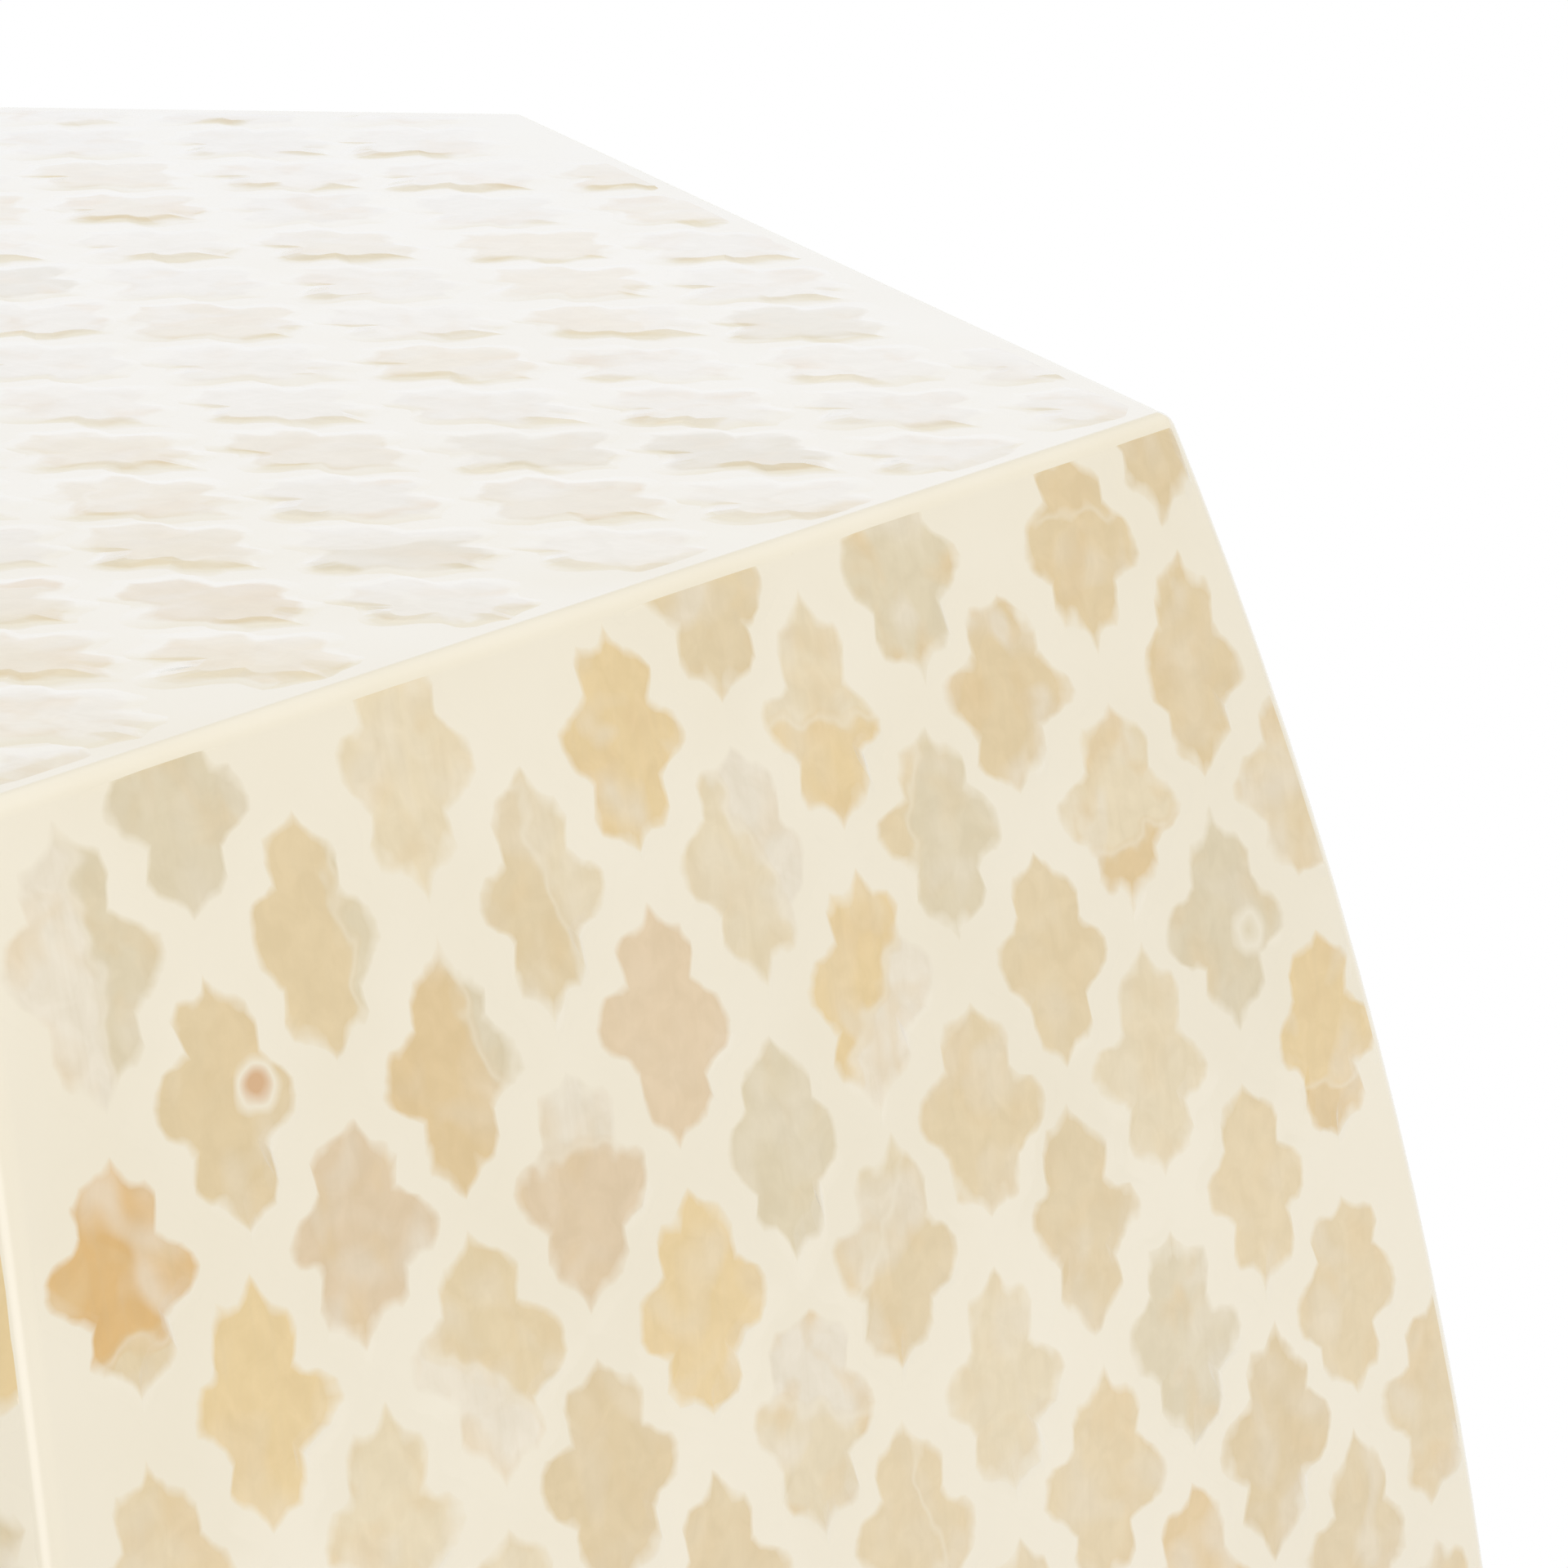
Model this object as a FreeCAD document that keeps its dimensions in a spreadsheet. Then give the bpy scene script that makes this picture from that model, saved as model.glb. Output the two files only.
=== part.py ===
import FreeCAD, Part
import math
import os

import Sketcher
from FreeCAD import Placement, Rotation, Vector

# A six-sided barrel side table: a plywood carcass with bone tiles in cast resin on its top and sides.
# The origin is on the floor under the middle of the table, Z is up and an arris points along +X.
# Each side is drawn square to +X and then turned about Z to its place.

SIDES = 6
SIDE_ANGLE = 360 / SIDES
HALF_SIDE_ANGLE = SIDE_ANGLE / 2
Z_AXIS = Vector(0, 0, 1)

# Driving dimensions, in millimetres, and angles in degrees.
SIZES = {
    "overall_height": "500",
    "top_across_corners": "450",
    "belly_across_corners": "547",
    "inlay_thickness": "3",
    "top_board_thickness": "18",
    "panel_thickness": "15",
    "base_board_thickness": "15",
    "rail_width": "32",
    "rail_height": "28",
    "belly_rail_width": "22",
    "belly_rail_height": "60",
    "screw_length": "38",
    "screw_head_diameter": "8",
    "screw_head_height": "2.6",
    "screw_diameter": "4",
    "screw_tip_length": "5",
    "screw_spacing": "110",
    "glide_height": "6",
    "glide_diameter": "30",
    "glide_chamfer": "1.5",
    "glide_inset": "36",
    "nail_head_diameter": "7",
    "nail_head_height": "1.2",
    "nail_head_recess": "1.5",
    "nail_diameter": "2.4",
    "nail_length": "15",
    "nail_tip_length": "3",
    "tile_width": "21.8",
    "tile_height": "25.8",
    "tile_neck_width": "11",
    "tile_neck_height": "10",
    "tile_thickness": "2.4",
    "tile_border": "2",
    "side_pitch_across": "37",
    "side_pitch_down": "32.8",
    "side_turn": "7.8",
    "side_start_across": "-12",
    "side_start_down": "48.3",
    "top_pitch_across": "31.3",
    "top_pitch_out": "41.6",
    "top_turn": "-33",
    "top_start_x": "164",
    "top_start_y": "-2",
}

# A tile's shoulder lies between its neck and its tip, at these shares of the way.
SHOULDER_OUT = 0.8
SHOULDER_UP = 0.64
# A cut tile smaller than the least share of a whole one isn't laid, and one over the whole share isn't cut.
LEAST_TILE_SHARE = 0.12
WHOLE_TILE_SHARE = 0.9999
RIGHT_ANGLE = 90

doc = FreeCAD.newDocument("side_table")
sheet = doc.addObject("Spreadsheet::Sheet", "sizes")
for row, (alias, number) in enumerate(SIZES.items(), start=1):
    sheet.set(f"A{row}", alias)
    sheet.set(f"B{row}", number)
    sheet.setAlias(f"B{row}", alias)
doc.recompute()

# Heights of the carcass, as expressions on the sheet.
TABLE_TOP = "sizes.overall_height"
BOARD_TOP = f"({TABLE_TOP} - sizes.inlay_thickness)"
PANEL_TOP = f"({BOARD_TOP} - sizes.top_board_thickness)"
TOP_RAIL_FOOT = f"({PANEL_TOP} - sizes.rail_height)"
BASE = "sizes.glide_height"
PANEL_FOOT = f"({BASE} + sizes.base_board_thickness)"
BASE_RAIL_TOP = f"({PANEL_FOOT} + sizes.rail_height)"
MIDDLE = f"(({TABLE_TOP} + {BASE}) / 2)"

# Each side bows out in one circular arc, widest at the middle of the carcass.
HALF_HEIGHT = f"(({TABLE_TOP} - {BASE}) / 2)"
COS_HALF = f"cos({HALF_SIDE_ANGLE})"
TAN_HALF = f"tan({HALF_SIDE_ANGLE})"
BOW = f"((sizes.belly_across_corners - sizes.top_across_corners) / 2 * {COS_HALF})"
ARC_RADIUS = f"(({HALF_HEIGHT}^2 + {BOW}^2) / (2 * {BOW}))"
ARC_CENTRE = f"(sizes.belly_across_corners / 2 * {COS_HALF} - {ARC_RADIUS})"

# Depths under the outer surface of a side.
SURFACE = "0"
INLAY_BACK = "sizes.inlay_thickness"
PANEL_BACK = "(sizes.inlay_thickness + sizes.panel_thickness)"


def value(expression):
    """The number that an expression on the sheet comes to."""
    return float(sheet.evalExpression(expression))


def size(alias):
    return value(f"sizes.{alias}")


def side_distance(height, depth):
    """Expression for the distance from the axis to a side at a height, at a depth under its surface."""
    return f"({ARC_CENTRE} + sqrt(({ARC_RADIUS} - {depth})^2 - ({height} - {MIDDLE})^2))"


def corner_distance(height, depth):
    return f"({side_distance(height, depth)} / {COS_HALF})"


def side_place(index):
    """Rotation that brings a side drawn square to +X to its place; the first side faces right and front."""
    return Placement(Vector(), Rotation(Z_AXIS, SIDE_ANGLE * (index - 1) - HALF_SIDE_ANGLE))


def new_body(label):
    body = doc.addObject("PartDesign::Body", label)
    body.Label = label
    return body


def new_sketch(body, name, role, lift=None):
    sketch = body.newObject("Sketcher::SketchObject", name)
    plane = next(feature for feature in body.Origin.OriginFeatures if feature.Role == role)
    sketch.AttachmentSupport = (plane, [""])
    sketch.MapMode = "FlatFace"
    if lift is not None:
        sketch.setExpression("AttachmentOffset.Base.z", lift)
    return sketch


def bind(sketch, constraint, expression):
    index = sketch.addConstraint(constraint)
    sketch.setExpression(f"Constraints[{index}]", expression)


def bind_point(sketch, edge, end, x, y):
    """Tie one end of an edge to a pair of expressions; a plain 0 puts it on the axis."""
    if x == "0":
        sketch.addConstraint(Sketcher.Constraint("PointOnObject", edge, end, -2))
    else:
        bind(sketch, Sketcher.Constraint("DistanceX", -1, 1, edge, end, value(x)), x)
    if y == "0":
        sketch.addConstraint(Sketcher.Constraint("PointOnObject", edge, end, -1))
    else:
        bind(sketch, Sketcher.Constraint("DistanceY", -1, 1, edge, end, value(y)), y)


def draw_polygon(sketch, corners):
    """Closed loop of straight edges through corners given as pairs of expressions."""
    points = [Vector(value(x), value(y), 0) for x, y in corners]
    edges = []
    for start, end in zip(points, points[1:] + points[:1]):
        edges.append(sketch.addGeometry(Part.LineSegment(start, end), False))
    for number, edge in enumerate(edges):
        sketch.addConstraint(Sketcher.Constraint("Coincident", edges[number - 1], 2, edge, 1))
        bind_point(sketch, edge, 1, *corners[number])


def draw_arc(sketch, low, high, depth):
    """Arc of a side's profile between two heights, at a depth under the surface."""
    radius = f"({ARC_RADIUS} - {depth})"
    centre = Vector(value(ARC_CENTRE), value(MIDDLE), 0)
    circle = Part.Circle(centre, Z_AXIS, value(radius))
    angles = [math.asin((value(height) - centre.y) / value(radius)) for height in (low, high)]
    arc = sketch.addGeometry(Part.ArcOfCircle(circle, *angles), False)
    bind(sketch, Sketcher.Constraint("Radius", arc, value(radius)), radius)
    bind_point(sketch, arc, 3, ARC_CENTRE, MIDDLE)
    for end, height in ((1, low), (2, high)):
        bind(sketch, Sketcher.Constraint("DistanceY", -1, 1, arc, end, value(height)), height)
    return arc


def draw_curved_section(sketch, low, high, outer_depth, inner_depth):
    """Section of a bowed sheet between two depths, cut level at its foot and its top."""
    outer = draw_arc(sketch, low, high, outer_depth)
    inner = draw_arc(sketch, low, high, inner_depth)
    for end, height in ((1, low), (2, high)):
        ends = [Vector(value(side_distance(height, depth)), value(height), 0)
                for depth in (outer_depth, inner_depth)]
        edge = sketch.addGeometry(Part.LineSegment(*ends), False)
        sketch.addConstraint(Sketcher.Constraint("Coincident", edge, 1, outer, end))
        sketch.addConstraint(Sketcher.Constraint("Coincident", edge, 2, inner, end))


def pad_and_mitre(body, section):
    """Run a section along its side and cut both ends on the planes through the arrises."""
    pad = body.newObject("PartDesign::Pad", f"{body.Name}_run")
    pad.Profile = section
    pad.SideType = "Symmetric"
    pad.setExpression("Length", "sizes.belly_across_corners")
    waste = new_sketch(body, f"{body.Name}_waste", "XY_Plane")
    near = "(sizes.top_across_corners / 4)"
    far = "sizes.belly_across_corners"
    for sign in ("", "-"):
        draw_polygon(waste, [
            (near, f"{sign}{near} * {TAN_HALF}"),
            (far, f"{sign}{far} * {TAN_HALF}"),
            (far, f"{sign}{far}"),
            (near, f"{sign}{far}"),
        ])
    doc.recompute()
    mitres = body.newObject("PartDesign::Pocket", f"{body.Name}_mitres")
    mitres.Profile = waste
    mitres.SideType = "Symmetric"
    mitres.Type = "ThroughAll"


def curved_sheet(label, low, high, outer_depth, inner_depth):
    body = new_body(label)
    section = new_sketch(body, f"{label}_section", "XZ_Plane")
    draw_curved_section(section, low, high, outer_depth, inner_depth)
    pad_and_mitre(body, section)
    return body


def rail(label, corners):
    body = new_body(label)
    section = new_sketch(body, f"{label}_section", "XZ_Plane")
    draw_polygon(section, corners)
    pad_and_mitre(body, section)
    return body


def hexagon_plate(label, low, high, depth):
    """Hexagonal plate whose bevelled edges follow the bow of the sides at a depth under the surface."""
    body = new_body(label)
    sketches = []
    for name, height in (("low", low), ("high", high)):
        sketch = new_sketch(body, f"{label}_{name}", "XY_Plane", height)
        radius = corner_distance(height, depth)
        corners = []
        for corner in range(SIDES):
            angle = SIDE_ANGLE * corner
            across = "0" if angle % 180 == 0 else f"{radius} * sin({angle})"
            corners.append((f"{radius} * cos({angle})", across))
        draw_polygon(sketch, corners)
        sketches.append(sketch)
    loft = body.newObject("PartDesign::AdditiveLoft", f"{label}_loft")
    loft.Profile = sketches[0]
    loft.Sections = sketches[1:]
    loft.Ruled = True
    return body


def turned_piece(label, outline):
    """Body of revolution about Z from half of its section."""
    body = new_body(label)
    sketch = new_sketch(body, f"{label}_section", "XZ_Plane")
    draw_polygon(sketch, outline)
    turning = body.newObject("PartDesign::Revolution", f"{label}_turning")
    turning.Profile = sketch
    turning.ReferenceAxis = (sketch, ["V_Axis"])
    turning.Angle = 360
    return body


def piece_from_shape(label, shape, placement=None):
    piece = doc.addObject("Part::Feature", label)
    piece.Label = label
    piece.Shape = shape
    if placement is not None:
        piece.Placement = placement
    return piece


def group_of(label, pattern, places):
    """One node of separate copies of a fastener, moved from the origin to the places."""
    doc.recompute()
    copies = []
    for place in places:
        copy = pattern.Shape.copy()
        copy.translate(place)
        copies.append(copy)
    return piece_from_shape(label, Part.makeCompound(copies))


def bored(label, blank, *fasteners):
    """A blank with the holes that its fasteners fill."""
    base = blank
    for fastener in fasteners:
        cut = doc.addObject("Part::Cut", f"{label}_for_{fastener.Name}")
        cut.Base = base
        cut.Tool = fastener
        base = cut
    base.Label = label
    return base


def quatrefoil():
    """Arcs round a tile, each as three points: shoulders that meet in two tips, and a round lobe each side."""
    lobe = size("tile_width") / 2
    tip = size("tile_height") / 2
    neck = size("tile_neck_width") / 2
    notch = size("tile_neck_height") / 2
    shoulder_out = neck * SHOULDER_OUT
    shoulder_up = notch + (tip - notch) * SHOULDER_UP
    return [
        ((0, tip), (-shoulder_out, shoulder_up), (-neck, notch)),
        ((-neck, notch), (-lobe, 0), (-neck, -notch)),
        ((-neck, -notch), (-shoulder_out, -shoulder_up), (0, -tip)),
        ((0, -tip), (shoulder_out, -shoulder_up), (neck, -notch)),
        ((neck, -notch), (lobe, 0), (neck, notch)),
        ((neck, notch), (shoulder_out, shoulder_up), (0, tip)),
    ]


def tile_block(height):
    """Block with a tile's outline, from its back at the depth of the tile to a height over its face."""
    back = -size("tile_thickness")
    edges = [Part.Arc(*[Vector(x, y, back) for x, y in arc]).toShape() for arc in quatrefoil()]
    return Part.Face(Part.Wire(edges)).extrude(Vector(0, 0, height - back))


def lattice(pitch_across, pitch_down, reach):
    """Places of a staggered pattern, across and up from its start, within a reach each way."""
    rows = math.ceil(2 * reach / pitch_down)
    columns = math.ceil(reach / pitch_across)
    for half_row in range(-rows, rows + 1):
        stagger = half_row % 2 / 2
        for column in range(-columns, columns + 1):
            yield Vector((column + stagger) * pitch_across, half_row * pitch_down / 2, 0)


def largest_part(shape):
    """The largest solid of a cut shape, or nothing where all of it was cut away."""
    return max(shape.Solids, key=lambda solid: solid.Volume, default=None)


def lay_tiles(skin, field, places):
    """Bone tiles at their places within a field of a skin, and the resin skin with a pocket for each."""
    whole = tile_block(0)
    cutter = tile_block(size("tile_height"))
    tiles = []
    pockets = []
    for place in places:
        tile = whole.transformed(place.toMatrix())
        pocket = cutter.transformed(place.toMatrix())
        part = largest_part(tile.common(field))
        share = part.Volume / whole.Volume if part else 0
        if share < LEAST_TILE_SHARE:
            continue
        if share < WHOLE_TILE_SHARE:
            tile = part
            pocket = largest_part(pocket.common(field))
        tiles.append(tile)
        pockets.append(pocket)
    return skin.cut(pockets), Part.makeCompound(tiles)


def side_tile_places():
    """Places of tiles on a side drawn square to +X: the pattern is turned and laid along the bow."""
    radius = value(ARC_RADIUS)
    middle = Vector(value(ARC_CENTRE), 0, value(MIDDLE))
    edge_angle = math.asin(value(HALF_HEIGHT) / radius)
    spread = math.tan(math.radians(HALF_SIDE_ANGLE))
    turn = Rotation(Z_AXIS, -size("side_turn"))
    reach = value(TABLE_TOP)
    places = []
    for point in lattice(size("side_pitch_across"), size("side_pitch_down"), reach):
        shift = turn.multVec(point)
        angle = edge_angle - (size("side_start_down") - shift.y) / radius
        outward = Vector(math.cos(angle), 0, math.sin(angle))
        centre = middle + outward * radius + Vector(0, size("side_start_across") + shift.x, 0)
        inside = abs(angle) < edge_angle + size("tile_height") / radius
        if inside and abs(centre.y) < centre.x * spread + size("tile_height"):
            along = Vector(0, 1, 0)
            stand = Placement(centre, Rotation(along, outward.cross(along), outward))
            places.append(stand.multiply(Placement(Vector(), turn)))
    return places


def top_tile_places():
    """Places of tiles on the top: the pattern starts near the arris on +X and its tips point at one side."""
    turn = Rotation(Z_AXIS, size("top_turn") - RIGHT_ANGLE)
    start = Vector(size("top_start_x"), size("top_start_y"), value(TABLE_TOP))
    reach = size("top_across_corners")
    places = []
    for point in lattice(size("top_pitch_across"), size("top_pitch_out"), reach):
        centre = start + turn.multVec(point)
        if math.hypot(centre.x, centre.y) < reach / 2:
            places.append(Placement(centre, turn))
    return places


def side_field():
    """Wedge inside the resin border of a side drawn square to +X."""
    border = size("tile_border")
    apex = border / math.sin(math.radians(HALF_SIDE_ANGLE))
    reach = size("belly_across_corners")
    half = (reach - apex) * math.tan(math.radians(HALF_SIDE_ANGLE))
    low = value(BASE) + border
    corners = [Vector(apex, 0, low), Vector(reach, -half, low), Vector(reach, half, low)]
    outline = Part.Face(Part.makePolygon(corners + corners[:1]))
    return outline.extrude(Vector(0, 0, value(BOARD_TOP) - border - low))


def top_field():
    """Hexagonal prism inside the resin border of the top."""
    radius = size("top_across_corners") / 2 - size("tile_border") / math.cos(math.radians(HALF_SIDE_ANGLE))
    depth = size("tile_height")
    low = value(BOARD_TOP) - depth
    corners = []
    for corner in range(SIDES + 1):
        angle = math.radians(SIDE_ANGLE * corner)
        corners.append(Vector(radius * math.cos(angle), radius * math.sin(angle), low))
    return Part.Face(Part.makePolygon(corners)).extrude(Vector(0, 0, 2 * depth))


def fastener_places(distance, height):
    """Two places behind each side, level at a height."""
    places = []
    for index in range(1, SIDES + 1):
        for across in (-size("screw_spacing") / 2, size("screw_spacing") / 2):
            places.append(side_place(index).multVec(Vector(value(distance), across, value(height))))
    return places


nodes = []

# Screws, drawn once with the head's flat face at the origin and the tip up.
screw = turned_piece("screw", [
    ("0", "0"),
    ("sizes.screw_head_diameter / 2", "0"),
    ("sizes.screw_diameter / 2", "sizes.screw_head_height"),
    ("sizes.screw_diameter / 2", "sizes.screw_length - sizes.screw_tip_length"),
    ("0", "sizes.screw_length"),
])
TOP_RAIL_BACK = f"({side_distance(PANEL_TOP, PANEL_BACK)} - sizes.rail_width)"
BASE_RAIL_BACK = f"({side_distance(PANEL_FOOT, PANEL_BACK)} - sizes.rail_width)"
RAIL_MIDDLE = "sizes.rail_width / 2"
top_screws = group_of("top_screws", screw, fastener_places(f"{TOP_RAIL_BACK} + {RAIL_MIDDLE}", TOP_RAIL_FOOT))
base_screws = group_of("base_screws", screw, fastener_places(f"{BASE_RAIL_BACK} + {RAIL_MIDDLE}", BASE))
nodes += [top_screws, base_screws]

# Glides under the corners of the base board, each held by a nail with a recessed head.
NAIL_SEAT = "(sizes.nail_head_recess + sizes.nail_head_height)"
GLIDE_CIRCLE = f"({corner_distance(BASE, SURFACE)} - sizes.glide_inset)"
glide_outline = [
    ("sizes.nail_head_diameter / 2", "0"),
    ("sizes.glide_diameter / 2 - sizes.glide_chamfer", "0"),
    ("sizes.glide_diameter / 2", "sizes.glide_chamfer"),
    ("sizes.glide_diameter / 2", BASE),
    ("sizes.nail_diameter / 2", BASE),
    ("sizes.nail_diameter / 2", NAIL_SEAT),
    ("sizes.nail_head_diameter / 2", NAIL_SEAT),
]
nail_places = []
for index in range(1, SIDES + 1):
    angle = SIDE_ANGLE * (index - 1)
    glide = turned_piece(f"glide_{index}", glide_outline)
    glide.setExpression("Placement.Base.x", f"{GLIDE_CIRCLE} * cos({angle})")
    glide.setExpression("Placement.Base.y", f"{GLIDE_CIRCLE} * sin({angle})")
    nodes.append(glide)
    nail_places.append(Rotation(Z_AXIS, angle).multVec(Vector(value(GLIDE_CIRCLE), 0, 0)))
nail = turned_piece("nail", [
    ("0", "sizes.nail_head_recess"),
    ("sizes.nail_head_diameter / 2", "sizes.nail_head_recess"),
    ("sizes.nail_head_diameter / 2", NAIL_SEAT),
    ("sizes.nail_diameter / 2", NAIL_SEAT),
    ("sizes.nail_diameter / 2", f"{NAIL_SEAT} + sizes.nail_length - sizes.nail_tip_length"),
    ("0", f"{NAIL_SEAT} + sizes.nail_length"),
])
glide_nails = group_of("glide_nails", nail, nail_places)
nodes.append(glide_nails)

# Boards that close the carcass, with bevelled edges behind the side inlay.
top_blank = hexagon_plate("top_blank", PANEL_TOP, BOARD_TOP, INLAY_BACK)
base_blank = hexagon_plate("base_blank", BASE, PANEL_FOOT, INLAY_BACK)
nodes.append(bored("top_board", top_blank, top_screws))
nodes.append(bored("base_board", base_blank, base_screws, glide_nails))

# Curved panels between the boards, and the rails behind them.
top_rail_section = [
    (side_distance(PANEL_TOP, PANEL_BACK), PANEL_TOP),
    (TOP_RAIL_BACK, PANEL_TOP),
    (TOP_RAIL_BACK, TOP_RAIL_FOOT),
    (side_distance(TOP_RAIL_FOOT, PANEL_BACK), TOP_RAIL_FOOT),
]
base_rail_section = [
    (side_distance(PANEL_FOOT, PANEL_BACK), PANEL_FOOT),
    (BASE_RAIL_BACK, PANEL_FOOT),
    (BASE_RAIL_BACK, BASE_RAIL_TOP),
    (side_distance(BASE_RAIL_TOP, PANEL_BACK), BASE_RAIL_TOP),
]
BELLY_LOW = f"({MIDDLE} - sizes.belly_rail_height / 2)"
BELLY_HIGH = f"({MIDDLE} + sizes.belly_rail_height / 2)"
BELLY_FRONT = side_distance(BELLY_HIGH, PANEL_BACK)
BELLY_RAIL_BACK = f"({BELLY_FRONT} - sizes.belly_rail_width)"
belly_rail_section = [
    (BELLY_FRONT, BELLY_LOW),
    (BELLY_FRONT, BELLY_HIGH),
    (BELLY_RAIL_BACK, BELLY_HIGH),
    (BELLY_RAIL_BACK, BELLY_LOW),
]
for index in range(1, SIDES + 1):
    panel = curved_sheet(f"side_panel_{index}", PANEL_FOOT, PANEL_TOP, INLAY_BACK, PANEL_BACK)
    top_rail = rail(f"top_rail_blank_{index}", top_rail_section)
    belly_rail = rail(f"belly_rail_{index}", belly_rail_section)
    base_rail = rail(f"base_rail_blank_{index}", base_rail_section)
    for piece in (panel, top_rail, belly_rail, base_rail):
        piece.Placement = side_place(index)
    nodes += [panel, belly_rail]
    nodes.append(bored(f"top_rail_{index}", top_rail, top_screws))
    nodes.append(bored(f"base_rail_{index}", base_rail, base_screws))

# Inlay: one skin is laid with tiles and serves all six sides, and the top has its own.
side_skin = curved_sheet("side_skin", BASE, BOARD_TOP, SURFACE, INLAY_BACK)
top_skin = hexagon_plate("top_skin", BOARD_TOP, TABLE_TOP, SURFACE)
doc.recompute()
side_ground, side_tiles = lay_tiles(side_skin.Shape, side_field(), side_tile_places())
for index in range(1, SIDES + 1):
    nodes.append(piece_from_shape(f"side_resin_{index}", side_ground, side_place(index)))
    nodes.append(piece_from_shape(f"side_bone_tiles_{index}", side_tiles, side_place(index)))
top_ground, top_tiles = lay_tiles(top_skin.Shape, top_field(), top_tile_places())
nodes.append(piece_from_shape("top_resin", top_ground))
nodes.append(piece_from_shape("top_bone_tiles", top_tiles))

doc.recompute()
for item in doc.Objects:
    if "Invalid" in item.State or "Error" in item.State:
        raise RuntimeError(f"{item.Label} failed: {item.State}")
for node in nodes:
    if node.Shape.isNull() or not node.Shape.isValid():
        raise RuntimeError(f"{node.Label} has no valid shape")

os.makedirs("parts", exist_ok=True)
for node in nodes:
    node.Shape.exportStep(f"parts/{node.Label}.step")
    print(node.Label, len(node.Shape.Solids), round(node.Shape.Volume, 1))
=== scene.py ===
import math
import random

import bpy
import numpy as np
from mathutils import Matrix, Vector, noise


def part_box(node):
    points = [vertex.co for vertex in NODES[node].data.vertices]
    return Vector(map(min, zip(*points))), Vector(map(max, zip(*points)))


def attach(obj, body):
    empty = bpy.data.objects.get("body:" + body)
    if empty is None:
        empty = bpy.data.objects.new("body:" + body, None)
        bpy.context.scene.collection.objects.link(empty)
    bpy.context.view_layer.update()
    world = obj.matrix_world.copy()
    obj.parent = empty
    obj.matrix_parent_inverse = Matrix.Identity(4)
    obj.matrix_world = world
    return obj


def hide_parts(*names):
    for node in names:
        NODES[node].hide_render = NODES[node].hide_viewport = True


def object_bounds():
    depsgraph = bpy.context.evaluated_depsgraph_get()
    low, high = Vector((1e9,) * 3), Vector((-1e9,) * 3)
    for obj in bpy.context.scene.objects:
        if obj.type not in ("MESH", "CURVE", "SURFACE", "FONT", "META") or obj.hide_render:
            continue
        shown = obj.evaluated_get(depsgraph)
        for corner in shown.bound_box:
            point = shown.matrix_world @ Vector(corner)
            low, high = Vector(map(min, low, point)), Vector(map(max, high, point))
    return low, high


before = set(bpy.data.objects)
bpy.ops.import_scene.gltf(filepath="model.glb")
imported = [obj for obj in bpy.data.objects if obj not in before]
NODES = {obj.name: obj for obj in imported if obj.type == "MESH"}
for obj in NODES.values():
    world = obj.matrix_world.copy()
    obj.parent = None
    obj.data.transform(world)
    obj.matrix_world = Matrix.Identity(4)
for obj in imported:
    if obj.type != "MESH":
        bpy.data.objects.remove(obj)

# A six-sided barrel side table in bone inlay. Its place and size come from the frame, in metres.
cad_box = [list(corner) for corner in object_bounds()]

MM = 0.001
UP = Vector((0, 0, 1))
SIDES = 6
SIDE_ANGLE = math.tau / SIDES
HALF_SIDE_ANGLE = SIDE_ANGLE / 2
FACINGS = [SIDE_ANGLE * index - HALF_SIDE_ANGLE for index in range(SIDES)]

# The carcass: each side bows out in one circular arc, widest half way up.
TABLE_TOP = cad_box[1][2]
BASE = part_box("base_board")[0].z
BELLY_CORNER = cad_box[1][0]
TOP_CORNER = 225 * MM
TOP_APOTHEM = TOP_CORNER * math.cos(HALF_SIDE_ANGLE)
MIDDLE = (TABLE_TOP + BASE) / 2
HALF_HEIGHT = (TABLE_TOP - BASE) / 2
BOW = (BELLY_CORNER - TOP_CORNER) * math.cos(HALF_SIDE_ANGLE)
ARC_RADIUS = (HALF_HEIGHT ** 2 + BOW ** 2) / (2 * BOW)
ARC_CENTRE = BELLY_CORNER * math.cos(HALF_SIDE_ANGLE) - ARC_RADIUS
EDGE_ANGLE = math.asin(HALF_HEIGHT / ARC_RADIUS)

# The resin skin: its thickness, its rounded edges, and the sharpest bend that is shaded smooth.
INLAY_THICKNESS = 3 * MM
EDGE_ROUND = 2 * MM
EDGE_STEPS = 6
BOW_ROWS = 48
SMOOTH_ANGLE = math.radians(40)
# The polished tiles stand a little above the resin, which shrank as it set.
SIDE_RISE = 0.07 * MM
TOP_RISE = 0.12 * MM
# The plain border of resin along the rims of a side, along its arrises, and along the edges of the top.
RIM_BORDER = 1.4 * MM
ARRIS_BORDER = 1.2 * MM
TOP_BORDER = 2.5 * MM
# A cut tile less deep than a sliver is left out, and a point within the tolerance of a cut lies on it.
SLIVER = 9 * MM
CUT_TOLERANCE = 0.001 * MM
# How far from a cut the sanded tiles bend down into the resin, and how deep.
SIDE_DIP = (0.6 * MM, 0.27 * MM)
TOP_DIP = (4 * MM, 0.14 * MM)

# The bone tiles: half sizes of a whole one, and the two staggered patterns that they are laid in.
HALF_WIDTH = 11.7 * MM
HALF_LENGTH = 13.9 * MM
SIDE_PITCH = (37 * MM, 32.8 * MM)
SIDE_TURN = math.radians(-7.8)
SIDE_START = Vector((-12 * MM, -48.3 * MM))
TOP_PITCH = (31.3 * MM, 41.6 * MM)
TOP_TURN = math.radians(-123)
TOP_START = Vector((164 * MM, -2 * MM))

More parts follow.
